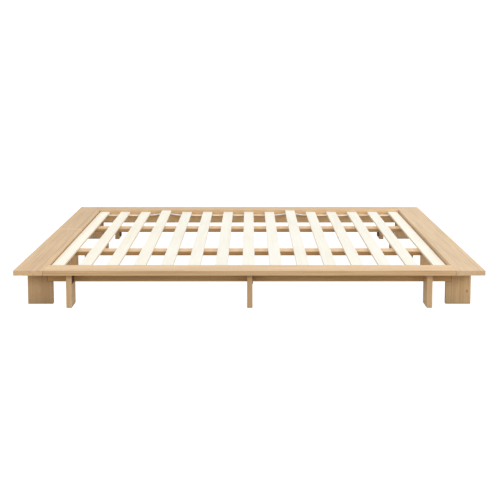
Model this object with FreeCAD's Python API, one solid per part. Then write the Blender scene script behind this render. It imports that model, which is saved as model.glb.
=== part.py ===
import FreeCAD, Part
import math
import os

# Low platform bed frame: a border of four flat boards stands on planks set on
# edge, with a roll of loose slats lying in the recess inside the border.
#
# Frame of reference, in millimetres:
#   X runs along the bed (left end -X, right end +X),
#   Y runs across it (front side -Y, rear side +Y), Z is up.
#   The origin is on the floor under the middle of the bed.

# ---------------------------------------------------------------- driving sizes

recess_length = 2040.0          # between the end boards, for a 2030 mattress
recess_width = 1940.0           # between the side boards, for a 1930 mattress
board_width = 145.0
board_thick = 25.0
frame_top = 197.0               # top of the border boards

plank_thick = 25.0              # cross rails, legs and mid posts
post_thick = 27.0               # side posts
edge_round = 1.2                # every long edge of the wood is eased
rail_height = 57.0
rail_thick = 50.0               # side rails
leg_width = 127.0
leg_lap = 26.5                  # length of a side rail's end seated in a corner leg
post_setback = 45.0             # border edge to the outer edge of a side post
post_x = 898.8                  # outer posts, from the middle of the bed
centre_post_x = 2.4
end_leg_inset = 2.0             # end leg's inner edge, inside the border's inner edge
leg_end_setback = 44.5          # border edge to the outer edge of corner and end legs

mid_rail_y = 394.0
mid_rail_width = 99.0
mid_rail_thick = 22.5
mid_rail_drop = 2.0             # gap under the slats
mid_post_depth = 57.0
mid_post_shift = -2.5           # along X, from the side posts

slat_count = 15
slat_width = 64.0
slat_thick = 12.0
slat_round = 2.0                # eased edges of a slat
slat_length = 1935.0
slat_pitch = 139.65
slat_row_shift = -3.6           # the row lies a little nearer the left end
sprung_slats = (4, 10)          # these have bowed and stand up at the rear
sprung_rise = 10.0
sprung_from = -347.0            # Y at which the bow starts

tape_y = 904.0                  # the two tapes that join the slats
tape_width = 36.0
tape_thick = 1.0
tape_end = 24.0                 # tape runs past the outer slats' middles
staple_crown = 12.0
staple_wire = 1.2
staple_leg = 8.0

pad_thick = 3.0                 # felt pads under every leg
pad_inset = 0.5
pad_round = 1.5

dowel_radius = 5.0
dowel_length = 60.0
dowel_spacing = 80.0
dowel_gap = 0.05                # glue film round a dowel

steel_thick = 2.5
bend_radius = 1.5               # inside the bend of an angle bracket
screw_radius = 2.0
screw_length = 16.0
screw_head_radius = 4.0
screw_head_height = 2.4
recess_arm = 4.4                # cross recess in a screw head
recess_slot = 0.9
recess_deep = 1.4
screw_gap = 0.05                # pilot holes and bracket holes round a shank

rail_screw_radius = 2.25
rail_screw_length = 50.0
rail_screw_sink = 20.0          # depth of the counterbore under the rail
rail_screw_x = (-620.0, -200.0, 200.0, 620.0)
rail_screw_y = (-700.0, -200.0, 200.0, 700.0)

buffer_radius = 17.0            # round rubber buffers low on the two outer rear posts
buffer_thick = 12.0
buffer_round = 4.0
buffer_y = 985.0
buffer_z = 30.0

# --------------------------------------------------------------- derived places

recess_x = recess_length / 2
recess_y = recess_width / 2
outer_x = recess_x + board_width
outer_y = recess_y + board_width
wood_top = frame_top - board_thick          # top of rails, legs and posts
rail_bottom = wood_top - rail_height
half_plank = plank_thick / 2
half_post = post_thick / 2

rail_outer_y = recess_y + half_plank        # outer face of side rails and corner legs
rail_inner_y = rail_outer_y - rail_thick
leg_inner_y = rail_outer_y - plank_thick    # inner face of the corner legs
cross_outer_x = recess_x + half_plank       # outer face of a cross rail
cross_inner_x = recess_x - half_plank
leg_outer_x = outer_x - leg_end_setback
leg_inner_x = recess_x - leg_lap
post_outer_y = outer_y - post_setback
post_inner_y = post_outer_y - leg_width
mid_rail_top = wood_top - mid_rail_drop
mid_rail_bottom = mid_rail_top - mid_rail_thick
slat_top = wood_top + slat_thick
half_slat = slat_length / 2

sides = {"front": -1, "rear": 1}
ends = {"left": -1, "right": 1}
post_places = {"left": -post_x, "centre": centre_post_x, "right": post_x}

X = FreeCAD.Vector(1, 0, 0)
Y = FreeCAD.Vector(0, 1, 0)
Z = FreeCAD.Vector(0, 0, 1)


# ------------------------------------------------------------------ small tools

def block(x_span, y_span, z_span):
    """Box between two limits along each axis, given in either order."""
    corner = FreeCAD.Vector(min(x_span), min(y_span), min(z_span))
    length = max(x_span) - min(x_span)
    depth = max(y_span) - min(y_span)
    height = max(z_span) - min(z_span)
    return Part.makeBox(length, depth, height, corner)


def eased(x_span, y_span, z_span, radius=edge_round):
    """Box whose edges are all rounded a little."""
    plain = block(x_span, y_span, z_span)
    return plain.makeFillet(radius, plain.Edges)


def rod(radius, start, direction, length):
    """Round bar from a start point along a direction."""
    return Part.makeCylinder(radius, length, start, direction)


def drilled(part, holes):
    """A part with every hole cut that reaches it."""
    for hole in holes:
        if part.BoundBox.intersect(hole.BoundBox):
            part = part.cut(hole)
    return part


def group(solids):
    """Separate identical pieces kept in one shape."""
    return Part.makeCompound(solids)


# --------------------------------------------------------------------- hardware

def screw(start, direction, length, radius, head_radius, head_height):
    """Pan-head wood screw: start is under the head, direction points into the wood."""
    tip = 2 * radius
    edge = head_height * 0.35
    half_section = Part.makePolygon([
        FreeCAD.Vector(0, 0, -head_height),
        FreeCAD.Vector(head_radius * 0.6, 0, -head_height),
        FreeCAD.Vector(head_radius, 0, -edge),
        FreeCAD.Vector(head_radius, 0, 0),
        FreeCAD.Vector(radius, 0, 0),
        FreeCAD.Vector(radius, 0, length - tip),
        FreeCAD.Vector(0, 0, length),
        FreeCAD.Vector(0, 0, -head_height),
    ])
    body = Part.Face(half_section).revolve(FreeCAD.Vector(0, 0, 0), Z, 360)
    across = (-recess_arm / 2, recess_arm / 2)
    narrow = (-recess_slot / 2, recess_slot / 2)
    depth = (-head_height - 1, -head_height + recess_deep)
    cross = block(across, narrow, depth).fuse(block(narrow, across, depth))
    body = body.cut(cross)
    body.Placement = FreeCAD.Placement(start, FreeCAD.Rotation(Z, direction))
    return body


def angle_section(height, reach):
    """Section of a bent steel angle: one flange hangs down, the other runs out along X."""
    outside = steel_thick + bend_radius
    turn = math.sqrt(0.5)
    outer_mid = FreeCAD.Vector(outside * (1 - turn), 0, -outside * (1 - turn))
    inner_mid = FreeCAD.Vector(outside - bend_radius * turn, 0, -outside + bend_radius * turn)
    foot_out = FreeCAD.Vector(0, 0, -height)
    bend_out_low = FreeCAD.Vector(0, 0, -outside)
    bend_out_high = FreeCAD.Vector(outside, 0, 0)
    toe_out = FreeCAD.Vector(reach, 0, 0)
    toe_in = FreeCAD.Vector(reach, 0, -steel_thick)
    bend_in_high = FreeCAD.Vector(outside, 0, -steel_thick)
    bend_in_low = FreeCAD.Vector(steel_thick, 0, -outside)
    foot_in = FreeCAD.Vector(steel_thick, 0, -height)
    edges = [
        Part.LineSegment(foot_out, bend_out_low).toShape(),
        Part.Arc(bend_out_low, outer_mid, bend_out_high).toShape(),
        Part.LineSegment(bend_out_high, toe_out).toShape(),
        Part.LineSegment(toe_out, toe_in).toShape(),
        Part.LineSegment(toe_in, bend_in_high).toShape(),
        Part.Arc(bend_in_high, inner_mid, bend_in_low).toShape(),
        Part.LineSegment(bend_in_low, foot_in).toShape(),
        Part.LineSegment(foot_in, foot_out).toShape(),
    ]
    return Part.Face(Part.Wire(edges))


class Fixing:
    """An angle bracket in a corner, with its four screws and the pilot holes for them.

    corner is the middle of the line where the two faces meet, out points away from
    the first face, and up points towards the second face.
    """

    def __init__(self, corner, out, up, height, reach, width):
        place = FreeCAD.Placement(corner, FreeCAD.Rotation(out, up.cross(out), up, "XZY"))
        low = -(height + steel_thick) / 2 - bend_radius
        far = (reach + steel_thick) / 2 + bend_radius
        seats = []
        for y in (-width / 4, width / 4):
            seats.append((FreeCAD.Vector(steel_thick, y, low), -X))
            seats.append((FreeCAD.Vector(far, y, -steel_thick), Z))
        self.pilots = []
        self.screws = []
        for start, direction in seats:
            hole = rod(screw_radius + screw_gap, start, direction, screw_length + screw_gap)
            piece = screw(start, direction, screw_length, screw_radius,
                          screw_head_radius, screw_head_height)
            self.pilots.append(hole)
            self.screws.append(piece)
        section = angle_section(height, reach)
        section.translate(FreeCAD.Vector(0, -width / 2, 0))
        self.bracket = drilled(section.extrude(Y * width), self.pilots)
        for shape in [self.bracket] + self.pilots + self.screws:
            shape.Placement = place * shape.Placement


def post_fixings():
    """One wide angle on each side post, under the border."""
    middle = (rail_outer_y + post_outer_y) / 2 - 2.5
    return [
        Fixing(FreeCAD.Vector(x - side * half_post, side * middle, wood_top),
               X * -side, Z, 54.0, 30.0, 60.0)
        for side in sides.values() for x in post_places.values()
    ]


def leg_fixings():
    """One angle behind each corner leg, under the end board."""
    return [
        Fixing(FreeCAD.Vector(end * (leg_outer_x - 24.5), side * leg_inner_y, wood_top),
               Y * -side, Z, 54.0, 30.0, 40.0)
        for side in sides.values() for end in ends.values()
    ]


def corner_fixings():
    """An angle at each corner holds the cross rail to the leg."""
    height = rail_bottom + 35.0
    return [
        Fixing(FreeCAD.Vector(end * cross_outer_x, side * leg_inner_y, height),
               Y * -side, X * -end, 40.0, 40.0, 40.0)
        for side in sides.values() for end in ends.values()
    ]


def mid_rail_fixings():
    """An angle under each end of each mid rail, on the cross rail's inner face."""
    return [
        Fixing(FreeCAD.Vector(end * cross_inner_x, side * mid_rail_y, mid_rail_bottom),
               X * -end, Z, 34.0, 40.0, 60.0)
        for side in sides.values() for end in ends.values()
    ]


def mid_post_fixings():
    """An angle on the outward face of each mid post, under the mid rail."""
    fixings = []
    for side in sides.values():
        for x in post_places.values():
            away = -1 if x < 0 else 1
            face = x + mid_post_shift + away * half_plank
            corner = FreeCAD.Vector(face, side * mid_rail_y, mid_rail_bottom)
            fixings.append(Fixing(corner, X * away, Z, 40.0, 40.0, 40.0))
    return fixings


def end_leg_fixings():
    """An angle on the rear face of each end leg, under the end board."""
    middle = (cross_outer_x + leg_outer_x) / 2
    return [
        Fixing(FreeCAD.Vector(end * middle, half_plank, wood_top), Y, Z, 54.0, 30.0, 60.0)
        for end in ends.values()
    ]


def rail_screw_places():
    """Points under the rails, in the half of each rail that the border covers."""
    side_y = (recess_y + rail_outer_y) / 2
    cross_x = (recess_x + cross_outer_x) / 2
    places = [(x, side * side_y) for side in sides.values() for x in rail_screw_x]
    places += [(end * cross_x, y) for end in ends.values() for y in rail_screw_y]
    return places


def rail_screw_holes():
    """Counterbore and shank hole of each upright screw through a rail."""
    holes = []
    for x, y in rail_screw_places():
        foot = FreeCAD.Vector(x, y, rail_bottom)
        seat = FreeCAD.Vector(x, y, rail_bottom + rail_screw_sink)
        bore = rod(screw_head_radius + 0.2, foot, Z, rail_screw_sink)
        shank = rod(rail_screw_radius + screw_gap, seat, Z, rail_screw_length + screw_gap)
        holes.append(bore.fuse(shank))
    return holes


def rail_screws():
    """Upright screws that hold the border down on the rails."""
    return [
        screw(FreeCAD.Vector(x, y, rail_bottom + rail_screw_sink), Z, rail_screw_length,
              rail_screw_radius, screw_head_radius, screw_head_height)
        for x, y in rail_screw_places()
    ]


def corner_dowels(radius, length):
    """Two dowels lie across each butt joint of the border."""
    middle_y = recess_y + board_width / 2
    middle_z = wood_top + board_thick / 2
    dowels = []
    for end in ends.values():
        for side in sides.values():
            for step in (-0.5, 0.5):
                y = side * (middle_y + step * dowel_spacing)
                start = FreeCAD.Vector(end * recess_x - length / 2, y, middle_z)
                dowels.append(rod(radius, start, X, length))
    return dowels


def buffer_faces():
    """Inner faces of the two outer rear posts, with the way each one looks."""
    return [
        (FreeCAD.Vector(end * (post_x - half_post), buffer_y, buffer_z), X * -end)
        for end in ends.values()
    ]


def rear_buffer(face, out):
    """Round rubber buffer with a rounded rim and a sunk hole for its screw."""
    disc = rod(buffer_radius, face, out, buffer_thick)
    rim = [edge for edge in disc.Edges
           if edge.Closed and (edge.CenterOfMass - face).dot(out) > buffer_thick / 2]
    disc = disc.makeFillet(buffer_round, rim)
    sink = rod(screw_head_radius + 0.3, face + out * (buffer_thick / 2), out, buffer_thick)
    shank = rod(screw_radius + screw_gap, face, out, buffer_thick)
    return disc.cut(sink).cut(shank)


def buffer_screws():
    return [
        screw(face + out * (buffer_thick / 2), out * -1, screw_length + 4, screw_radius,
              screw_head_radius, screw_head_height)
        for face, out in buffer_faces()
    ]


def buffer_pilots():
    return [
        rod(screw_radius + screw_gap, face, out * -1, screw_length)
        for face, out in buffer_faces()
    ]


# ----------------------------------------------------------------- wooden parts

def end_board(end):
    """Full-depth board at one end of the bed."""
    return eased((end * recess_x, end * outer_x), (-outer_y, outer_y), (wood_top, frame_top))


def side_board(side):
    """Board between the two end boards."""
    return eased((-recess_x, recess_x), (side * recess_y, side * outer_y),
                 (wood_top, frame_top))


def side_rail(side):
    """Beam under the border's edge and the slats' ends, notched at its ends."""
    beam = eased((-recess_x, recess_x), (side * rail_inner_y, side * rail_outer_y),
                 (rail_bottom, wood_top))
    for end in ends.values():
        notch = block((end * cross_inner_x, end * recess_x),
                      (side * rail_inner_y, side * leg_inner_y), (rail_bottom, wood_top))
        beam = beam.cut(notch)
    return beam


def cross_rail(end):
    """Rail on edge at one end, let into the ends of the side rails."""
    return eased((end * cross_inner_x, end * cross_outer_x), (-leg_inner_y, leg_inner_y),
                 (rail_bottom, wood_top))


def mid_rail(side):
    """Flat rail that carries the slats, between the cross rails."""
    near = side * mid_rail_y - mid_rail_width / 2
    far = side * mid_rail_y + mid_rail_width / 2
    return eased((-cross_inner_x, cross_inner_x), (near, far), (mid_rail_bottom, mid_rail_top))


def corner_leg(side, end):
    """Plank in line with the side rail, notched at the top to take the rail's end."""
    y_span = (side * leg_inner_y, side * rail_outer_y)
    plank = eased((end * leg_inner_x, end * leg_outer_x), y_span, (pad_thick, wood_top))
    notch = block((end * leg_inner_x, end * recess_x), y_span, (rail_bottom, wood_top))
    return plank.cut(notch)


def side_post(side, x):
    """Plank across the side rail, rebated at the top to carry it."""
    x_span = (x - half_post, x + half_post)
    plank = eased(x_span, (side * post_inner_y, side * post_outer_y), (pad_thick, wood_top))
    rebate = block(x_span, (side * post_inner_y, side * rail_outer_y), (rail_bottom, wood_top))
    return plank.cut(rebate)


def mid_post(side, x):
    """Plank across a mid rail, under it."""
    near = side * mid_rail_y - mid_post_depth / 2
    far = side * mid_rail_y + mid_post_depth / 2
    middle = x + mid_post_shift
    return eased((middle - half_plank, middle + half_plank), (near, far),
                 (pad_thick, mid_rail_bottom))


def end_leg(end):
    """Plank across the middle of a cross rail, rebated over it."""
    inner = recess_x - end_leg_inset
    y_span = (-half_plank, half_plank)
    plank = eased((end * inner, end * leg_outer_x), y_span, (pad_thick, wood_top))
    rebate = block((end * inner, end * cross_outer_x), y_span, (rail_bottom, wood_top))
    return plank.cut(rebate)


def foot_pad(leg):
    """Felt pad under one leg, set in a little from its edges."""
    box = leg.BoundBox
    pad = block((box.XMin + pad_inset, box.XMax - pad_inset),
                (box.YMin + pad_inset, box.YMax - pad_inset), (0, pad_thick))
    upright = [edge for edge in pad.Edges if edge.BoundBox.ZLength > pad_thick / 2]
    return pad.makeFillet(pad_round, upright)


# -------------------------------------------------------------------- slat roll

def slat_x(number):
    """Middle of a slat, numbered from the left."""
    return slat_row_shift + (number - (slat_count + 1) / 2) * slat_pitch


def slat_rise(number, y):
    """Height of a slat's underside over the rails at a place along it."""
    if number not in sprung_slats or y <= sprung_from:
        return 0.0
    return sprung_rise * ((y - sprung_from) / (half_slat - sprung_from)) ** 2


def is_bow_line(edge):
    """True if an edge only divides a flat run from a curved one."""
    return abs(edge.BoundBox.XLength - slat_width) < 0.01 and any(
        abs(vertex.Y - sprung_from) < 0.01 for vertex in edge.Vertexes)


def flat_slat(x):
    return eased((x - slat_width / 2, x + slat_width / 2), (-half_slat, half_slat),
                 (wood_top, slat_top), slat_round)


def sprung_slat(number, x):
    """Slat that lies flat at the front and curves up towards the rear."""
    left = x - slat_width / 2
    middle_y = (sprung_from + half_slat) / 2

    def point(y, height):
        return FreeCAD.Vector(left, y, wood_top + height + slat_rise(number, y))

    def curve(height):
        ends_and_middle = [point(y, height) for y in (sprung_from, middle_y, half_slat)]
        return Part.Arc(*ends_and_middle).toShape()

    def line(start, end):
        return Part.LineSegment(start, end).toShape()

    outline = Part.Wire([
        line(point(-half_slat, 0), point(sprung_from, 0)),
        curve(0),
        line(point(half_slat, 0), point(half_slat, slat_thick)),
        curve(slat_thick),
        line(point(sprung_from, slat_thick), point(-half_slat, slat_thick)),
        line(point(-half_slat, slat_thick), point(-half_slat, 0)),
    ])
    bowed = Part.Face(outline).extrude(X * slat_width)
    sides_and_ends = [edge for edge in bowed.Edges if not is_bow_line(edge)]
    return bowed.makeFillet(slat_round, sides_and_ends)


def slat(number):
    if number in sprung_slats:
        return sprung_slat(number, slat_x(number))
    return flat_slat(slat_x(number))


def slat_tape(side):
    """Woven tape under the slats, flat under each one and straight between them."""
    edge_y = side * tape_y - tape_width / 2
    path = []
    for number in range(1, slat_count + 1):
        left = slat_x(number) - slat_width / 2
        right = slat_x(number) + slat_width / 2
        if number == 1:
            left = slat_x(number) - tape_end
        if number == slat_count:
            right = slat_x(number) + tape_end
        height = wood_top + slat_rise(number, edge_y)
        path += [(left, height), (right, height)]
    upper = [FreeCAD.Vector(x, edge_y, z) for x, z in path]
    lower = [FreeCAD.Vector(x, edge_y, z - tape_thick) for x, z in reversed(path)]
    return Part.Face(Part.makePolygon(upper + lower + upper[:1])).extrude(Y * tape_width)


def staple(number, side):
    """Wire staple through the tape into one slat."""
    x = slat_x(number)
    y = side * tape_y
    under = wood_top + slat_rise(number, y - tape_width / 2) - tape_thick
    x_span = (x - staple_crown / 2, x + staple_crown / 2)
    y_span = (y - staple_wire / 2, y + staple_wire / 2)
    top = under + tape_thick + staple_leg
    solid = block(x_span, y_span, (under - staple_wire, under))
    for inner, outer in ((x_span[0], x_span[0] + staple_wire),
                         (x_span[1] - staple_wire, x_span[1])):
        solid = solid.fuse(block((inner, outer), y_span, (under - staple_wire, top)))
    return solid.removeSplitter()


# --------------------------------------------------------------------- assembly

def wooden_nodes():
    """Every plank and board of the frame by name, before drilling."""
    nodes = {}
    for side_name, side in sides.items():
        nodes[side_name + "_board"] = side_board(side)
        nodes[side_name + "_rail"] = side_rail(side)
        nodes[side_name + "_mid_rail"] = mid_rail(side)
        for end_name, end in ends.items():
            nodes[side_name + "_" + end_name + "_leg"] = corner_leg(side, end)
        for place_name, x in post_places.items():
            nodes[side_name + "_" + place_name + "_post"] = side_post(side, x)
            nodes["mid_" + side_name + "_" + place_name + "_post"] = mid_post(side, x)
    for end_name, end in ends.items():
        nodes[end_name + "_board"] = end_board(end)
        nodes[end_name + "_cross_rail"] = cross_rail(end)
        nodes[end_name + "_end_leg"] = end_leg(end)
    return nodes


def hardware_nodes(fixings):
    """Brackets, screws, dowels and buffers, each kind in one node."""
    nodes = {name: group([fixing.bracket for fixing in some])
             for name, some in fixings.items()}
    nodes["bracket_screws"] = group([piece for some in fixings.values()
                                     for fixing in some for piece in fixing.screws])
    nodes["rail_screws"] = group(rail_screws())
    nodes["board_dowels"] = group(corner_dowels(dowel_radius, dowel_length))
    nodes["rear_buffers"] = group([rear_buffer(face, out) for face, out in buffer_faces()])
    nodes["buffer_screws"] = group(buffer_screws())
    return nodes


def slat_nodes():
    """The slats, their two tapes and the staples."""
    numbers = range(1, slat_count + 1)
    nodes = {"slat_%02d" % number: slat(number) for number in numbers}
    for side_name, side in sides.items():
        nodes[side_name + "_tape"] = slat_tape(side)
    nodes["slat_staples"] = group([staple(number, side)
                                   for side in sides.values() for number in numbers])
    return nodes


def all_nodes():
    fixings = {
        "post_brackets": post_fixings(),
        "leg_brackets": leg_fixings(),
        "corner_brackets": corner_fixings(),
        "mid_rail_brackets": mid_rail_fixings(),
        "mid_post_brackets": mid_post_fixings(),
        "end_leg_brackets": end_leg_fixings(),
    }
    holes = [pilot for some in fixings.values() for fixing in some for pilot in fixing.pilots]
    holes += rail_screw_holes()
    holes += corner_dowels(dowel_radius + dowel_gap, dowel_length + 1)
    holes += buffer_pilots()
    wood = wooden_nodes()
    nodes = {name: drilled(part, holes) for name, part in wood.items()}
    nodes["foot_pads"] = group([foot_pad(part) for name, part in wood.items()
                                if name.endswith("_leg") or name.endswith("_post")])
    nodes.update(hardware_nodes(fixings))
    nodes.update(slat_nodes())
    return nodes


def main():
    os.makedirs("parts", exist_ok=True)
    for name, shape in all_nodes().items():
        shape.exportStep("parts/" + name + ".step")
        print(name, len(shape.Solids), shape.isValid(), round(shape.Volume))


main()
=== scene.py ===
import math
import random

import bmesh
import bpy
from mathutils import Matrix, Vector
from mathutils.bvhtree import BVHTree


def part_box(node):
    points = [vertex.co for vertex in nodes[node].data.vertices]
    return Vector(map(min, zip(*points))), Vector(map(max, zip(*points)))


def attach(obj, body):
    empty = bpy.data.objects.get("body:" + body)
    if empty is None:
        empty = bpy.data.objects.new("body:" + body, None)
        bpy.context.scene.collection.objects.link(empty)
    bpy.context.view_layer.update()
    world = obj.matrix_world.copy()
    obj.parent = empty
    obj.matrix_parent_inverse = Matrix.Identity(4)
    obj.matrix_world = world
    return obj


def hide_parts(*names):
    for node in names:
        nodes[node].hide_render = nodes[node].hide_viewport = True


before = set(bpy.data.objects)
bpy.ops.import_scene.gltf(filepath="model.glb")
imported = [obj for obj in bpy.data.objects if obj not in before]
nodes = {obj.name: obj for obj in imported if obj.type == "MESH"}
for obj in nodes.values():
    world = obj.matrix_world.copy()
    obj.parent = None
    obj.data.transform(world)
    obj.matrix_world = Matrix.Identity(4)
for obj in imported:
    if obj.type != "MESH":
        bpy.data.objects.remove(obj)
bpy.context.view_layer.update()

# A wooden bed frame: wood, metal, felt and rubber for the CAD pieces, woven tapes in place
# of the plain ones under the slats, and a white studio. Lengths are in metres.

MM = 0.001

# ------------------------------------------------------------------ node trees


class Shading:
    """Builds one material. Sockets are handed from call to call like values."""

    def __init__(self, name):
        self.material = bpy.data.materials.new(name)
        self.material.use_nodes = True
        self.tree = self.material.node_tree
        self.tree.nodes.clear()

    def feed(self, socket, value):
        if isinstance(value, bpy.types.NodeSocket):
            self.tree.links.new(value, socket)
        else:
            socket.default_value = value

    def node(self, kind, inputs=None, **settings):
        made = self.tree.nodes.new("ShaderNode" + kind)
        for key, value in settings.items():
            setattr(made, key, value)
        for key, value in (inputs or {}).items():
            self.feed(made.inputs[key], value)
        return made

    def math(self, operation, a, b=0.0, c=0.0):
        return self.node("Math", {0: a, 1: b, 2: c}, operation=operation).outputs[0]

    def plus(self, *terms):
        total = terms[0]
        for term in terms[1:]:
            total = self.math("ADD", total, term)
        return total

    def times(self, a, b):
        return self.math("MULTIPLY", a, b)

    def step(self, value, low, high, out_low=0.0, out_high=1.0):
        """Smooth step from out_low to out_high as value goes from low to high."""
        made = self.node(
            "MapRange",
            {"Value": value, "From Min": low, "From Max": high, "To Min": out_low,
             "To Max": out_high},
            interpolation_type="SMOOTHSTEP",
        )
        return made.outputs["Result"]

    def vector(self, x, y, z):
        return self.node("CombineXYZ", {0: x, 1: y, 2: z}).outputs[0]

    def stretched(self, place, factors):
        """A place with each of its three coordinates multiplied by a factor."""
        return self.vector(*(self.times(p, f) for p, f in zip(place, factors)))

    def noise(self, vector, scale=1.0, detail=2.0, roughness=0.5):
        made = self.node(
            "TexNoise",
            {"Vector": vector, "Scale": scale, "Detail": detail, "Roughness": roughness},
            noise_dimensions="3D",
        )
        return made.outputs[0]

    def noise_1d(self, w, scale=1.0, detail=2.0, roughness=0.5):
        made = self.node(
            "TexNoise",
            {"W": w, "Scale": scale, "Detail": detail, "Roughness": roughness},
            noise_dimensions="1D",
        )
        return made.outputs[0]

    def centred(self, value, amount):
        """amount times how far a noise value is from its middle."""
        return self.math("MULTIPLY_ADD", value, amount, -0.5 * amount)

    def mix(self, factor, a, b, blend="MIX"):
        made = self.node("Mix", data_type="RGBA", blend_type=blend)
        self.feed(made.inputs[0], factor)
        self.feed(made.inputs[6], a)
        self.feed(made.inputs[7], b)
        return made.outputs[2]

    def toned(self, factor, colour, base, tint):
        """The colour replaced by a tinted base colour, as far as the factor says."""
        return self.mix(factor, colour, (*scaled(base, tint), 1.0))

    def graded(self, colour, value, first, last, strengths):
        """The colour multiplied by strengths spread evenly from first to last."""
        run = self.times(self.plus(value, -first), 1 / (last - first))
        steps = len(strengths) - 1
        light = self.ramp(run, [(i / steps, (k, k, k)) for i, k in enumerate(strengths)])
        return self.mix(1.0, colour, light, "MULTIPLY")

    def ramp(self, value, stops):
        """Colours blended along a value. stops are (value, colour)."""
        made = self.node("ValToRGB", {0: value})
        elements = made.color_ramp.elements
        while len(elements) < len(stops):
            elements.new(0.5)
        for element, (position, colour) in zip(elements, stops):
            element.position = position
            element.color = (*colour, 1.0)
        return made.outputs[0]

    def finish(self, colour, roughness, height=None, bump=0.0, relief=0.0005, **constants):
        shader = self.node("BsdfPrincipled", {"Base Color": colour, "Roughness": roughness})
        for name, value in constants.items():
            shader.inputs[name.replace("_", " ")].default_value = value
        if height is not None:
            bumped = self.node("Bump", {"Strength": bump, "Distance": relief, "Height": height})
            self.tree.links.new(bumped.outputs[0], shader.inputs["Normal"])
        out = self.node("OutputMaterial")
        self.tree.links.new(shader.outputs[0], out.inputs["Surface"])
        return self.material

    def parts(self, vector):
        """A vector's three parts, one socket per axis letter."""
        return dict(zip("XYZ", self.node("SeparateXYZ", {0: vector}).outputs))

    def spot(self):
        """Object coordinates as one vector."""
        return self.node("TexCoord").outputs["Object"]

    def place(self):
        """Object coordinates, one socket per axis letter."""
        return self.parts(self.spot())

    def normal(self):
        """The surface's direction, without smoothing, one socket per axis letter."""
        return self.parts(self.node("NewGeometry").outputs["True Normal"])

    def facing(self):
        """How squarely the surface faces each axis, from 0 to 1."""
        return {axis: self.math("ABSOLUTE", part) for axis, part in self.normal().items()}

    def towards(self, axis, sign):
        """1 where the surface faces one way along an axis, 0 elsewhere."""
        return self.step(self.times(self.normal()[axis], sign), 0.6, 0.9)

    def tinted(self, factor, colour, tint):
        """The colour multiplied by a tint, as far as the factor says."""
        return self.mix(factor, colour, self.mix(1.0, colour, (*tint, 1.0), "MULTIPLY"))

    def line(self, value, position, inner, outer):
        """1 within inner of a position along one axis, fading to 0 at outer."""
        away = self.math("ABSOLUTE", self.math("SUBTRACT", value, position))
        return self.step(away, inner, outer, 1.0, 0.0)

    def arris(self, facing):
        """1 on the rounded edges, 0 on the flat faces."""
        squarest = self.math("MAXIMUM", facing["X"], facing["Y"])
        squarest = self.math("MAXIMUM", squarest, facing["Z"])
        return self.step(squarest, 0.9, 0.995, 1.0, 0.0)


def scaled(colour, tint):
    return tuple(min(1.0, c * k) for c, k in zip(colour, tint))


# ------------------------------------------------------------------------ wood

OAK = (0.656, 0.453, 0.250)

# tints over a plank's own colour
LATE_WOOD = (0.80, 0.76, 0.70)
EARLY_WOOD = (1.13, 1.15, 1.18)
PORE = (0.55, 0.48, 0.4)
FLECK = (0.66, 0.56, 0.46)
GLUE = (0.6, 0.52, 0.42)
SPLICE = (1.3, 1.42, 1.62)
KNOT = (0.45, 0.36, 0.26)
# lighter rounded edges: a painted highlight along the arrises, with some wear
EDGE_WEAR_AND_HIGHLIGHT = (1.09, 1.12, 1.16)
# painted shade in the seams between planks
SEAM_SHADE = (0.18, 0.13, 0.09)
END_GRAIN = (0.95, 0.93, 0.90)
PLAIN = (1.0, 1.0, 1.0)

# noise cells in a metre: along the grain, across the plank, through it
WANDER_CELLS = (0.9, 3.0, 3.0)
FIBRE_CELLS = (2.2, 115.0, 115.0)
CLOUD_CELLS = (1.5, 6.0, 6.0)
PORE_CELLS = (32.0, 1150.0, 1150.0)
FLECK_CELLS = (11.0, 70.0, 70.0)
RING_CELLS = 85.0

NOISE_SHIFT = 9.0           # each plank's noise is moved by up to this much
STAVE_SHIFT = 6.0           # and each stave's grain by up to this much more
PITH_ASIDE = 50 * MM
PITH_UNDER = (50 * MM, 140 * MM)
RING_WANDER = 70 * MM
KNOT_REACH = 25 * MM
KNOT_BULGE = 7 * MM
KNOT_FLATTENING = 0.35
KNOT_CORE, KNOT_RIM = 1.5 * MM, 7 * MM
SPLICE_CORE, SPLICE_RIM = 5 * MM, 11 * MM
GAP_CORE, GAP_RIM, GAP_END = 0.4 * MM, 1.6 * MM, 0.5 * MM
PAST_SPLICE = 37.0          # added to a stave's number past the splice, for another value
FINE_GLUE_LINE = 1.0 * MM
BROAD_GLUE_LINE = 1.6 * MM
STAVES_BELOW = 20           # staves counted before a given glue line, more than any plank has


def glued_staves(s, along, across, start, stave, half, offset, splice):
    """Pieces glued side by side: a random value for each, and 1 on the lines between."""
    count = s.times(s.math("SUBTRACT", across, start), 1 / stave)
    whole = s.math("FLOOR", count)
    key = s.plus(whole, offset)
    if splice is not None:
        beyond = s.math("GREATER_THAN", along, splice)
        key = s.plus(key, s.times(beyond, PAST_SPLICE))
    piece = s.node("TexWhiteNoise", {"W": key}, noise_dimensions="1D").outputs["Value"]
    part = s.math("SUBTRACT", count, whole)
    joint = s.math("ABSOLUTE", s.math("SUBTRACT", part, 0.5))
    return piece, s.step(joint, 0.5 - half / stave, 0.5 - 0.3 * half / stave)


def knot_distance(s, along, across, knot):
    """How far a place is from the middle of a knot that is longer along the grain."""
    du = s.math("SUBTRACT", along, knot[1])
    dv = s.math("SUBTRACT", across, knot[0])
    length = s.times(s.times(du, du), KNOT_FLATTENING)
    return s.math("SQRT", s.plus(s.times(dv, dv), length))


def growth_rings(s, where, pith, bulge, offset):
    """Rings round a pith that lies off the plank. They wander, and bulge round a knot."""
    dv = s.math("SUBTRACT", where[1], pith[0])
    dw = s.math("SUBTRACT", where[2], pith[1])
    wander = s.noise(s.stretched(where, WANDER_CELLS), detail=3.0, roughness=0.45)
    radius = s.math("SQRT", s.plus(s.times(dv, dv), s.times(dw, dw)))
    radius = s.plus(radius, s.centred(wander, RING_WANDER), bulge, offset)
    return s.noise_1d(radius, scale=RING_CELLS, detail=4.0, roughness=0.62)


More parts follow.
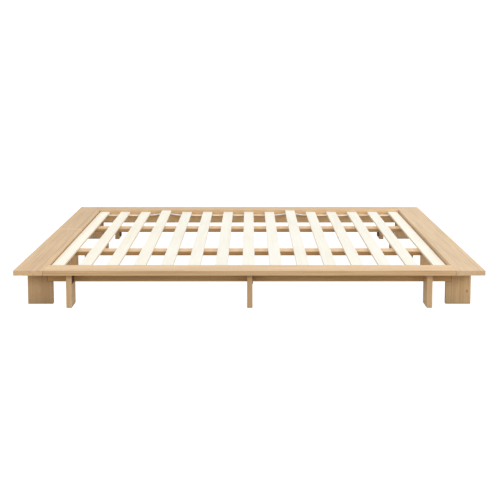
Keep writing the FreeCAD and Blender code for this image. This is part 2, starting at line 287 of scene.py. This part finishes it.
def seam_shade_line(s, at, facing, joint):
    """1 on the line where a plank meets another, on its upright faces, for the painted shade in
    the seam.
    """
    axis, place, other, low, high = joint
    dark = s.line(at[axis], place, GAP_CORE, GAP_RIM)
    dark = s.times(dark, s.step(facing["Z"], 0.3, 0.7, 1.0, 0.0))
    if other:
        reach = (high - low) / 2
        dark = s.times(dark, s.line(at[other], low + reach, reach, reach + GAP_END))
    return dark


def oak(name, axes, seed, tint=PLAIN, edge=None, stave=None, glue_at=None,
        knot=None, splice=None, figure=0.75, flecks=0.0, joints=(), fade=None,
        end=END_GRAIN, side=None, slope=None):
    """Light oak with a matt lacquer.

    axes: along the grain, across the plank's face, through its thickness. edge is the
    tint of the plank's narrow long sides over the tint of the rest, painted light and
    shade. stave is the width of the pieces glued side by side, and glue_at the place of
    one glue line. knot is (across, along) in metres. splice is where two lengths are
    joined end to end. figure is how strongly the growth rings show, flecks how many short
    dark marks there are. joints are lines where the plank meets another, darkened with
    painted shade of the seam: (axis, place, other axis, from, to). fade is how light the
    plank is at its start, middle and end, end the tint of its end grain, and side the tint
    of one face, painted light: (axis, sign, tint). slope is how light the plank is at its
    low and high long sides. fade and slope are painted light and shade.
    """
    s = Shading("oak_" + name)
    draw = random.Random(seed)
    lo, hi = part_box(name)
    middle = (lo + hi) / 2
    at = s.place()
    facing = s.facing()
    grain, face, depth = ("XYZ".index(a) for a in axes)
    along, across, through = (at[a] for a in axes)
    shift = [draw.uniform(-NOISE_SHIFT, NOISE_SHIFT) for _ in range(3)]
    u = s.plus(along, shift[0])
    if stave:
        start = lo[face] - draw.uniform(0.2, 0.8) * stave
        half = FINE_GLUE_LINE
        if glue_at is not None:
            start = glue_at - STAVES_BELOW * stave
            half = BROAD_GLUE_LINE
        piece, glue_line = glued_staves(s, along, across, start, stave, half, shift[1], splice)
        u = s.plus(u, s.times(piece, STAVE_SHIFT))
    where = (u, across, through)
    bulge = 0.0
    if knot:
        off = knot_distance(s, along, across, knot)
        bulge = s.step(off, 0.0, KNOT_REACH, KNOT_BULGE, 0.0)
    pith_across = middle[face] + draw.uniform(-PITH_ASIDE, PITH_ASIDE)
    pith_depth = middle[depth] - draw.uniform(*PITH_UNDER)
    rings = growth_rings(s, where, (pith_across, pith_depth), bulge, shift[2])
    fibre = s.noise(s.stretched(where, FIBRE_CELLS), detail=4.0, roughness=0.62)
    cloud = s.noise(s.stretched(where, CLOUD_CELLS), detail=2.0)
    pores = s.step(s.noise(s.stretched(where, PORE_CELLS), detail=1.0), 0.6, 0.74)

    tone = s.plus(0.5, s.centred(rings, figure), s.centred(fibre, 1.15), s.centred(cloud, 0.4))
    if stave:
        tone = s.plus(tone, s.centred(piece, 0.16))
    base = scaled(OAK, tint)
    colour = s.ramp(tone, [
        (0.12, scaled(base, LATE_WOOD)),
        (0.5, base),
        (0.88, scaled(base, EARLY_WOOD)),
    ])
    colour = s.toned(s.times(pores, 0.42), colour, base, PORE)
    if flecks:
        marks = s.noise(s.stretched(where, FLECK_CELLS), detail=3.0, roughness=0.65)
        marks = s.times(s.step(marks, 0.64, 0.76), flecks)
        colour = s.toned(marks, colour, base, FLECK)
    colour = s.tinted(s.step(facing[axes[0]], 0.85, 0.98), colour, end)
    if stave:
        strength = 0.5 if glue_at is None else 0.75
        colour = s.toned(s.times(glue_line, strength), colour, base, GLUE)
    if splice is not None:
        line = s.line(along, splice, SPLICE_CORE, SPLICE_RIM)
        colour = s.toned(s.times(line, 0.85), colour, base, SPLICE)
    if knot:
        heart = s.step(off, KNOT_CORE, KNOT_RIM, 1.0, 0.0)
        colour = s.toned(s.times(heart, 0.8), colour, base, KNOT)
    # painted light and shade on the narrow long sides
    if edge:
        colour = s.tinted(s.step(facing[axes[1]], 0.6, 0.9), colour, edge)
    # painted light on one face
    if side:
        axis, sign, lit_face_tint = side
        colour = s.tinted(s.towards(axis, sign), colour, lit_face_tint)
    # painted light and shade along the plank, and across it with slope
    if fade:
        colour = s.graded(colour, along, lo[grain], hi[grain], fade)
    if slope:
        colour = s.graded(colour, across, lo[face], hi[face], slope)
    # lighter rounded edges: a painted highlight along the arrises, with some wear
    wear_and_highlight = s.times(s.arris(facing), s.step(cloud, 0.3, 0.6, 0.35, 0.8))
    colour = s.toned(wear_and_highlight, colour, base, EDGE_WEAR_AND_HIGHLIGHT)
    # painted shade in the seams where planks meet
    for joint in joints:
        dark = seam_shade_line(s, at, facing, joint)
        colour = s.toned(s.times(dark, 0.65), colour, base, SEAM_SHADE)

    rough = s.plus(0.5, s.centred(fibre, 0.16), s.times(pores, 0.14), s.times(wear_and_highlight, -0.06))
    height = s.plus(s.times(fibre, 0.5), s.times(pores, -0.6), s.times(rings, 0.35))
    return s.finish(colour, rough, height, bump=0.35, relief=0.0004, Specular_IOR_Level=0.28)


BIRCH = (0.865, 0.835, 0.735)
BIRCH_DARK = (0.92, 0.90, 0.84)
BIRCH_LIGHT = (1.04, 1.045, 1.07)
LAYER_DARK = (0.70, 0.59, 0.43, 1.0)
LAYER_LIGHT = (0.83, 0.75, 0.60, 1.0)
LAYER_PAIR = 3.4 * MM


def slat_wood(name, seed, tint=PLAIN):
    """Pale layered birch: faint figure on the faces, thin layers on the edges."""
    s = Shading("birch_" + name)
    draw = random.Random(seed)
    at = s.place()
    facing = s.facing()
    shift = [draw.uniform(-NOISE_SHIFT, NOISE_SHIFT) for _ in range(2)]
    u = s.plus(at["Y"], shift[0])
    fibre = s.noise(s.stretched((at["X"], u, at["Z"]), (150.0, 3.0, 150.0)),
                    detail=4.0, roughness=0.6)
    flame = s.noise(s.vector(s.times(at["X"], 28.0), s.times(u, 1.3), shift[1]), detail=3.0)
    cloud = s.noise(s.vector(s.times(at["X"], 9.0), s.times(u, 2.2), shift[1]), detail=1.0)
    tone = s.plus(0.5, s.centred(fibre, 0.7), s.centred(flame, 0.8), s.centred(cloud, 0.5))
    base = scaled(BIRCH, tint)
    colour = s.ramp(tone, [
        (0.1, scaled(base, BIRCH_DARK)),
        (0.5, base),
        (0.9, scaled(base, BIRCH_LIGHT)),
    ])
    layers = s.math("SINE", s.times(at["Z"], 2 * math.pi / LAYER_PAIR))
    layers = s.step(s.plus(layers, s.centred(fibre, 1.2)), -0.5, 0.5)
    edge_colour = s.mix(layers, LAYER_DARK, LAYER_LIGHT)
    edge = s.step(s.math("MAXIMUM", facing["X"], facing["Y"]), 0.6, 0.9)
    colour = s.mix(edge, colour, edge_colour)
    rough = s.plus(0.55, s.centred(fibre, 0.18), s.times(edge, 0.08))
    height = s.plus(s.times(fibre, 0.6), s.times(s.times(edge, layers), 0.4))
    return s.finish(colour, rough, height, bump=0.25, relief=0.0003, Specular_IOR_Level=0.28)


def turned_beech(name):
    """Dowels: straight fine grain along X with short dark flecks."""
    s = Shading("beech_" + name)
    where = tuple(s.place().values())
    fibre = s.noise(s.stretched(where, (14.0, 500.0, 500.0)), detail=3.0)
    flecks = s.noise(s.stretched(where, (220.0, 1500.0, 1500.0)), detail=0.0)
    flecks = s.step(flecks, 0.62, 0.72)
    colour = s.ramp(fibre, [(0.25, (0.50, 0.33, 0.19)), (0.7, (0.68, 0.49, 0.31))])
    colour = s.mix(s.times(flecks, 0.5), colour, (0.3, 0.17, 0.09, 1.0))
    rough = s.plus(0.6, s.centred(fibre, 0.2))
    return s.finish(colour, rough, fibre, bump=0.3, relief=0.0003)


# ----------------------------------------------------------- metal, felt, cloth

def powder_coat(name):
    """Dark brown coated steel: an orange-peel skin, rubbed lighter along the edges."""
    s = Shading("coat_" + name)
    spot = s.spot()
    peel = s.noise(spot, scale=900.0, detail=2.0)
    dust = s.noise(spot, scale=60.0, detail=3.0, roughness=0.6)
    worn = s.times(s.arris(s.facing()), s.step(dust, 0.42, 0.62))
    colour = s.ramp(dust, [(0.3, (0.120, 0.068, 0.030)), (0.75, (0.170, 0.102, 0.050))])
    colour = s.mix(s.times(worn, 0.5), colour, (0.32, 0.22, 0.14, 1.0))
    rough = s.plus(0.68, s.centred(peel, 0.2), s.centred(dust, 0.15))
    return s.finish(colour, rough, peel, bump=0.3, relief=0.0002, Specular_IOR_Level=0.15)


def bare_metal(name, dark, light, roughness):
    """Plated steel with fine scratches and slightly dull patches."""
    s = Shading("metal_" + name)
    dull = s.noise(s.spot(), scale=220.0, detail=3.0, roughness=0.6)
    where = tuple(s.place().values())
    scratch = s.noise(s.stretched(where, (3000.0, 3000.0, 300.0)), detail=1.0)
    colour = s.ramp(dull, [(0.3, dark), (0.7, light)])
    rough = s.plus(roughness, s.centred(dull, 0.25), s.centred(scratch, 0.12))
    return s.finish(colour, rough, scratch, bump=0.15, relief=0.0001, Metallic=1.0)


def pressed_felt(name):
    """Brown-grey needle felt with a fuzzy, mottled face."""
    s = Shading("felt_" + name)
    spot = s.spot()
    fuzz = s.noise(spot, scale=1400.0, detail=3.0, roughness=0.7)
    mottle = s.noise(spot, scale=160.0, detail=2.0)
    tone = s.plus(0.5, s.centred(fuzz, 0.8), s.centred(mottle, 0.6))
    colour = s.ramp(tone, [(0.2, (0.16, 0.10, 0.055)), (0.8, (0.28, 0.19, 0.11))])
    rough = s.plus(0.93, s.centred(fuzz, 0.1))
    return s.finish(colour, rough, fuzz, bump=0.8, relief=0.0006, Sheen_Weight=0.1)


def moulded_rubber(name):
    """Dark brown rubber, lightly pitted and dusty."""
    s = Shading("rubber_" + name)
    spot = s.spot()
    pits = s.noise(spot, scale=1200.0, detail=2.0)
    bloom = s.noise(spot, scale=70.0, detail=3.0, roughness=0.6)
    colour = s.ramp(bloom, [(0.3, (0.150, 0.105, 0.064)), (0.75, (0.230, 0.168, 0.110))])
    rough = s.plus(0.7, s.centred(bloom, 0.25), s.centred(pits, 0.1))
    return s.finish(colour, rough, pits, bump=0.4, relief=0.0002)


WEAVE_REPEAT = 1.3 * MM


def webbing(name):
    """White woven tape in a plain weave, with slightly darker gaps between the yarns."""
    s = Shading("webbing_" + name)
    at = s.place()
    where = tuple(at.values())
    turns = 2 * math.pi / WEAVE_REPEAT
    warp = s.math("SINE", s.times(at["Y"], turns))
    weft = s.math("SINE", s.times(at["X"], turns))
    over = s.times(warp, weft)
    yarn = s.noise(s.stretched(where, (900.0, 2600.0, 1.0)), detail=2.0)
    soil = s.noise(s.stretched(where, (9.0, 60.0, 1.0)), detail=2.0)
    weave = s.plus(s.step(over, -1.0, 1.0), s.centred(yarn, 0.5))
    colour = s.ramp(weave, [(0.0, (0.66, 0.65, 0.66)), (0.6, (0.88, 0.87, 0.89))])
    colour = s.mix(s.step(soil, 0.55, 0.75, 0.0, 0.25), colour, (0.72, 0.69, 0.67, 1.0))
    rough = s.plus(0.82, s.centred(yarn, 0.15))
    return s.finish(colour, rough, weave, bump=0.6, relief=0.0004, Sheen_Weight=0.2)


# ---------------------------------------------------------------------- camera

CAMERA_PLACE = (0.0001, -6.4523, 1.2752)
CAMERA_LENS = 79.27
CAMERA_SHIFT = -0.15
CAMERA_DIP = math.radians(6.452)
CAMERA_TURN = math.radians(-0.036)

camera_data = bpy.data.cameras.new("camera")
camera_data.lens = CAMERA_LENS
camera_data.sensor_width = 36.0
camera_data.shift_y = CAMERA_SHIFT
camera_data.clip_end = 200.0
camera = bpy.data.objects.new("camera", camera_data)
camera.location = CAMERA_PLACE
camera.rotation_euler = (math.pi / 2 - CAMERA_DIP, 0.0, CAMERA_TURN)
bpy.context.scene.collection.objects.link(camera)
bpy.context.scene.camera = camera

# ------------------------------------------------------------ finishes per node

BOARD_STAVE = 75 * MM
PLANK_STAVE = 64 * MM
KNOTTY_STAVE = 100 * MM
KNOTTY_GLUE_LINE = 28.5 * MM        # from the outer side of the front right leg
KNOT_ACROSS, KNOT_ALONG = 0.85, 0.37
SPLICE_ALONG = 0.571

# along the grain, across the face, through the thickness
PLANK_AXES = {
    "front_board": "XYZ", "rear_board": "XYZ",
    "left_board": "YXZ", "right_board": "YXZ",
    "front_rail": "XZY", "rear_rail": "XZY",
    "left_cross_rail": "YZX", "right_cross_rail": "YZX",
    "front_mid_rail": "XYZ", "rear_mid_rail": "XYZ",
}
# each plank's or slat's colour over the common one, set piece by piece; on slats 1 and 15 it is
# partly painted light against the shade of the borders
TINTS = {
    "left_board": (0.93, 0.915, 0.90),
    "right_board": (1.05, 1.095, 1.18),
    "front_board": (1.05, 1.045, 1.03),
    "rear_board": (0.97, 0.95, 0.94),
    "front_mid_rail": (1.17, 1.14, 1.10),
    "rear_mid_rail": (1.10, 1.05, 0.98),
    "rear_rail": (1.06, 1.06, 1.06),
    "front_rail": (0.955, 0.93, 0.83),
    "front_right_leg": (1.0, 1.03, 1.04),
    "front_left_leg": (0.865, 0.855, 0.855),
    "front_left_post": (1.16, 1.23, 1.22),
    "front_centre_post": (0.88, 0.865, 0.85),
    "front_right_post": (1.17, 1.27, 1.20),
    "left_end_leg": (1.28, 1.28, 1.26),
    "right_end_leg": (1.08, 1.08, 1.08),
    "slat_01": (1.07, 1.045, 1.01),
    "slat_02": (1.02, 1.0, 0.97),
    "slat_03": (1.02, 1.0, 0.97),
    "slat_04": (1.01, 1.0, 0.98),
    "slat_15": (1.03, 1.02, 1.0),
}
# narrow long sides, end grain and one face, over the plank's own colour. The narrow sides'
# tints are painted light and shade, and the rear rail's one face is lightened with painted
# light.
EDGE_LIGHT_AND_SHADE = {
    "front_mid_rail": (0.755, 0.665, 0.575),
    "rear_mid_rail": (0.86, 0.80, 0.745),
    "front_board": (0.925, 0.935, 0.965),
    "rear_board": (1.16, 1.21, 1.30),
    "left_board": (1.10, 1.12, 1.16),
    "right_board": (1.03, 1.05, 1.08),
    "front_left_post": (0.885, 0.85, 0.875),
    "front_left_leg": (0.78, 0.74, 0.68),
    "front_right_post": (0.82, 0.765, 0.815),
}
END_TINTS = {
    "left_board": (1.13, 1.18, 1.27),
    "right_board": (1.0, 1.0, 1.05),
}
# painted light: the rear rail's face towards the front made lighter
LIT_FACE_TINTS = {
    "rear_rail": ("Y", -1, (1.37, 1.40, 1.38)),
}
# painted light and shade: how light a plank is at its start, middle and end, and at its two
# long sides, such as a leg darker near the floor
FADES = {
    "left_board": (1.03, 0.99, 0.93),
    "rear_board": (0.90, 0.97, 1.02),
    "front_board": (1.06, 0.955, 1.08),
    "front_left_leg": (0.82, 0.98, 1.06),
    "front_right_leg": (0.89, 1.02, 1.10),
}
SLOPES = {
    "front_right_leg": (0.86, 1.03),
}
# dark and light patches, and roughness
METALS = {
    "bracket_screws": ((0.16, 0.12, 0.09), (0.26, 0.21, 0.16), 0.5),
    "rail_screws": ((0.42, 0.42, 0.43), (0.66, 0.66, 0.65), 0.34),
    "buffer_screws": ((0.38, 0.38, 0.38), (0.6, 0.6, 0.6), 0.38),
    "slat_staples": ((0.5, 0.5, 0.5), (0.74, 0.74, 0.72), 0.3),
}


def axes_of(name):
    """Grain runs along a board or rail, and up a leg or post."""
    if name in PLANK_AXES:
        return PLANK_AXES[name]
    if name.endswith("_post"):
        return "ZYX"
    return "ZXY"


def between(low, high, share):
    return low + share * (high - low)


def dress(name, material):
    """Puts a material in every slot of a CAD node and leaves the mesh alone."""
    for slot in nodes[name].material_slots:
        slot.link = "OBJECT"
        slot.material = material


def joints_of(name, lo, hi):
    """Where a plank meets its neighbours in a joint that shows as a thin line of painted shade.
    """
    if name in ("front_board", "rear_board"):
        return [("X", x, None, 0, 0) for x in (lo.x, hi.x)]
    if name in ("left_board", "right_board"):
        inner = hi.x if name == "left_board" else lo.x
        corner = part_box("front_board")[1].y
        return [("X", inner, "Y", lo.y, corner), ("X", inner, "Y", -corner, hi.y)]
    if name in ("front_rail", "rear_rail"):
        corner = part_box(name.replace("rail", "left_leg"))[1].x
        return [("X", lo.x, None, 0, 0), ("X", hi.x, None, 0, 0),
                ("Z", lo.z, "X", lo.x, corner), ("Z", lo.z, "X", -corner, hi.x)]
    if name.endswith(("left_leg", "right_leg")):
        rail_lo, rail_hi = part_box(name.split("_")[0] + "_rail")
        end = rail_lo.x if "left" in name else rail_hi.x
        inner = hi.x if "left" in name else lo.x
        return [("X", end, "Z", rail_lo.z, hi.z),
                ("Z", rail_lo.z, "X", min(end, inner), max(end, inner))]
    return []


OAK_SEED = 100
BIRCH_SEED = 300

wooden = [n for n in sorted(nodes) if n.endswith(("_board", "_rail", "_leg", "_post"))]
for number, name in enumerate(wooden):
    lo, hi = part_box(name)
    options = {}
    if name.endswith("_board"):
        options.update(stave=BOARD_STAVE, figure=0.7, flecks=0.35)
    elif name.endswith(("_leg", "_post")):
        options["stave"] = PLANK_STAVE
    if name == "left_board":
        options.update(splice=between(lo.y, hi.y, SPLICE_ALONG), figure=0.8, flecks=0.9)
    if name == "right_board":
        options.update(figure=0.45, flecks=0.15)
    if name == "front_right_leg":
        knot = between(lo.x, hi.x, KNOT_ACROSS), between(lo.z, hi.z, KNOT_ALONG)
        options.update(knot=knot, stave=KNOTTY_STAVE, glue_at=lo.x + KNOTTY_GLUE_LINE)
    if name in END_TINTS:
        options["end"] = END_TINTS[name]
    options.update(
        tint=TINTS.get(name, PLAIN),
        edge=EDGE_LIGHT_AND_SHADE.get(name),
        side=LIT_FACE_TINTS.get(name),
        fade=FADES.get(name),
        slope=SLOPES.get(name),
        joints=joints_of(name, lo, hi),
    )
    dress(name, oak(name, axes_of(name), OAK_SEED + number, **options))

slats = [n for n in sorted(nodes) if n.startswith("slat_") and n[5:].isdigit()]
for number, name in enumerate(slats):
    dress(name, slat_wood(name, BIRCH_SEED + number, TINTS.get(name, PLAIN)))

for name in sorted(nodes):
    if name.endswith("_brackets"):
        dress(name, powder_coat(name))
for name, (dark, light, roughness) in METALS.items():
    dress(name, bare_metal(name, dark, light, roughness))
dress("board_dowels", turned_beech("board_dowels"))
dress("foot_pads", pressed_felt("foot_pads"))
dress("rear_buffers", moulded_rubber("rear_buffers"))

# ----------------------------------------------------------------- new pieces


def mesh_object(name, bm):
    """An object in the scene with the mesh that was built. The bmesh is freed."""
    mesh = bpy.data.meshes.new(name)
    bm.to_mesh(mesh)
    bm.free()
    made = bpy.data.objects.new(name, mesh)
    bpy.context.scene.collection.objects.link(made)
    return made


# ----------------------------------------------------------------------- tapes

TAPE_STEP = 5 * MM
TAPE_SAG = 2.6 * MM
TAPE_CLEAR = 0.15 * MM
TAPE_THICK = 1 * MM
TAPE_INSET = 0.25 * MM
TAPE_SWAY = 0.35 * MM
SWAY_TURNS = 9.0            # radians in a metre
TAPE_STRIPS = 10
SELVEDGE = 0.12 * MM
SLAT_EASING = 2 * MM
PROBE_DEPTH = 100 * MM


def slat_underside(name, y_low, y_high):
    """Height of a slat's underside in its middle at two places along it."""
    mesh = nodes[name].data
    lo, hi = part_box(name)
    tree = BVHTree.FromPolygons([v.co for v in mesh.vertices],
                                [p.vertices for p in mesh.polygons])
    up = Vector((0.0, 0.0, 1.0))
    centre = (lo.x + hi.x) / 2
    probes = [Vector((centre, y, lo.z - PROBE_DEPTH)) for y in (y_low, y_high)]
    return [tree.ray_cast(probe, up)[0].z for probe in probes]


def tape_line(node, seed):
    """Points along the tape: x and the top's height at its front and rear edge."""
    lo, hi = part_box(node)
    draw = random.Random(seed)
    spans = []
    for name in slats:
        s_lo, s_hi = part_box(name)
        left, right = max(lo.x, s_lo.x + SLAT_EASING), min(hi.x, s_hi.x - SLAT_EASING)
        front, rear = slat_underside(name, lo.y, hi.y)
        spans.append((left, right, front - TAPE_CLEAR, rear - TAPE_CLEAR))
    line = []
    for index, (left, right, front, rear) in enumerate(spans):
        count = max(2, round((right - left) / TAPE_STEP))
        for i in range(count + 1):
            line.append((left + (right - left) * i / count, front, rear))
        if index + 1 == len(spans):
            break
        after = spans[index + 1]
        gap = after[0] - right
        count = max(4, round(gap / TAPE_STEP))
        sag = TAPE_SAG * draw.uniform(0.6, 1.25)
        twist = draw.uniform(-0.3, 0.3) * TAPE_SAG
        for i in range(1, count):
            t = i / count
            ease = t * t * (3 - 2 * t)
            hang = 4 * t * (1 - t)
            line.append((
                right + gap * t,
                front + (after[2] - front) * ease - (sag - twist) * hang,
                rear + (after[3] - rear) * ease - (sag + twist) * hang,
            ))
    return line


def tape_section():
    """(share across, height from the top) round a tape, thicker beside its two edges."""
    upper = []
    for i in range(TAPE_STRIPS + 1):
        t = i / TAPE_STRIPS
        rim = SELVEDGE if i in (1, TAPE_STRIPS - 1) else 0.0
        upper.append((t, rim - SELVEDGE))
    lower = [(t, -TAPE_THICK - z) for t, z in reversed(upper)]
    return upper + lower


def woven_tape(name, node, seed):
    """A thin woven tape, a little thicker at its selvedges, slack between the slats."""
    lo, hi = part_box(node)
    draw = random.Random(seed + 50)
    outline = tape_section()
    bm = bmesh.new()
    rows = []
    wander = draw.uniform(0, 6.28)
    for x, front, rear in tape_line(node, seed):
        sway = TAPE_SWAY * math.sin(x * SWAY_TURNS + wander)
        row = []
        for t, z in outline:
            y = lo.y + TAPE_INSET + sway + (hi.y - lo.y - 2 * TAPE_INSET) * t
            row.append(bm.verts.new((x, y, front + (rear - front) * t + z)))
        rows.append(row)
    for a, b in zip(rows, rows[1:]):
        for i in range(len(a)):
            j = (i + 1) % len(a)
            bm.faces.new((a[i], b[i], b[j], a[j]))
    bm.faces.new(rows[0])
    bm.faces.new(reversed(rows[-1]))
    bmesh.ops.recalc_face_normals(bm, faces=bm.faces)
    tape = mesh_object(name, bm)
    for polygon in tape.data.polygons:
        polygon.use_smooth = len(polygon.vertices) == 4
    tape.data.materials.append(webbing(name))
    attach(tape, "slat_roll")
    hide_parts(node)


woven_tape("front_woven_tape", "front_tape", 11)
woven_tape("rear_woven_tape", "rear_tape", 12)

# ---------------------------------------------------------------------- studio

COVE_RADIUS = 14.0
COVE_BEND = 4.0
COVE_TOP = 9.0
COVE_FLAT = COVE_RADIUS - COVE_BEND
COVE_HUB = 2.0
BEND_STEPS = 12
FLOOR_DROP = 2 * MM         # the floor that throws light back lies this far under the cove


def revolve(name, profile, turns=96):
    """Surface made by turning a line of (radius, height) points round the upright axis."""
    bm = bmesh.new()
    hub = bm.verts.new((0.0, 0.0, profile[0][1]))
    rings = []
    for radius, height in profile[1:]:
        ring = []
        for i in range(turns):
            a = 2 * math.pi * i / turns
            ring.append(bm.verts.new((radius * math.cos(a), radius * math.sin(a), height)))
        rings.append(ring)
    for i in range(turns):
        bm.faces.new((hub, rings[0][i], rings[0][(i + 1) % turns]))
    for inner, outer in zip(rings, rings[1:]):
        for i in range(turns):
            j = (i + 1) % turns
            bm.faces.new((inner[i], outer[i], outer[j], inner[j]))
    made = mesh_object(name, bm)
    for polygon in made.data.polygons:
        polygon.use_smooth = True
    return made


def flat_profile(height):
    return [(0.0, height), (COVE_HUB, height), (COVE_FLAT, height)]


def cove_profile():
    """Flat in the middle, bent up at the rim."""
    profile = flat_profile(0.0)
    for i in range(1, BEND_STEPS + 1):
        a = math.pi / 2 * i / BEND_STEPS
        profile.append((COVE_FLAT + COVE_BEND * math.sin(a), COVE_BEND * (1 - math.cos(a))))
    profile.append((COVE_RADIUS, COVE_TOP))
    return profile


# The white cove is only seen. The light that comes back up at the bed is thrown by a warm
# floor just under it, which isn't seen.
cove = revolve("backdrop", cove_profile())
glow = Shading("white_cove")
paper = glow.noise(glow.spot(), scale=1.3, detail=2.0)
shade = glow.ramp(paper, [(0.3, (0.30, 0.30, 0.30)), (0.7, (0.32, 0.32, 0.32))])
matt = glow.node("BsdfDiffuse", {"Color": shade})
light = glow.node("Emission", {"Strength": 0.93})
both = glow.node("AddShader", {0: matt.outputs[0], 1: light.outputs[0]})
glow.tree.links.new(both.outputs[0], glow.node("OutputMaterial").inputs["Surface"])
cove.data.materials.append(glow.material)
cove.visible_diffuse = False
cove.visible_glossy = False
cove.visible_shadow = False
cove.visible_transmission = False

floor = revolve("floor", flat_profile(-FLOOR_DROP))
warm = Shading("warm_floor")
grain = warm.noise(warm.spot(), scale=2.0, detail=2.0)
tone = warm.ramp(grain, [(0.3, (0.40, 0.32, 0.235)), (0.7, (0.42, 0.34, 0.255))])
floor.data.materials.append(warm.finish(tone, 0.8))
floor.visible_camera = False
floor.visible_glossy = False


def softbox(name, place, size, power):
    """A rectangular lamp turned to the middle of the bed."""
    lamp = bpy.data.lights.new(name, "AREA")
    lamp.shape = "RECTANGLE"
    lamp.size, lamp.size_y = size
    lamp.energy = power
    made = bpy.data.objects.new(name, lamp)
    made.location = place
    made.rotation_euler = (BED_MIDDLE - Vector(place)).to_track_quat("-Z", "Y").to_euler()
    made.visible_camera = False
    bpy.context.scene.collection.objects.link(made)


BED_MIDDLE = Vector((0.0, 0.0, 0.1))

softbox("overhead", (0.0, 0.0, 6.0), (7.0, 7.0), 30.0)
softbox("front_left", (-6.5, -7.5, 3.5), (4.0, 3.0), 82.0)
softbox("front_right", (6.5, -7.5, 3.5), (4.0, 3.0), 218.0)
softbox("front_middle", (0.0, -8.0, 3.4), (4.0, 2.5), 60.0)
softbox("left_fill", (-8.6, 0.5, 4.5), (6.0, 3.0), 240.0)
softbox("right_fill", (8.6, 0.5, 4.5), (6.0, 3.0), 298.0)
softbox("rear_fill", (0.0, 9.0, 4.5), (9.0, 3.0), 113.0)

world = bpy.data.worlds.new("studio")
bpy.context.scene.world = world
world.use_nodes = True
surroundings = world.node_tree.nodes["Background"]
surroundings.inputs["Color"].default_value = (1.0, 1.0, 1.0, 1.0)
surroundings.inputs["Strength"].default_value = 0.65

bpy.context.scene.view_settings.view_transform = "Standard"
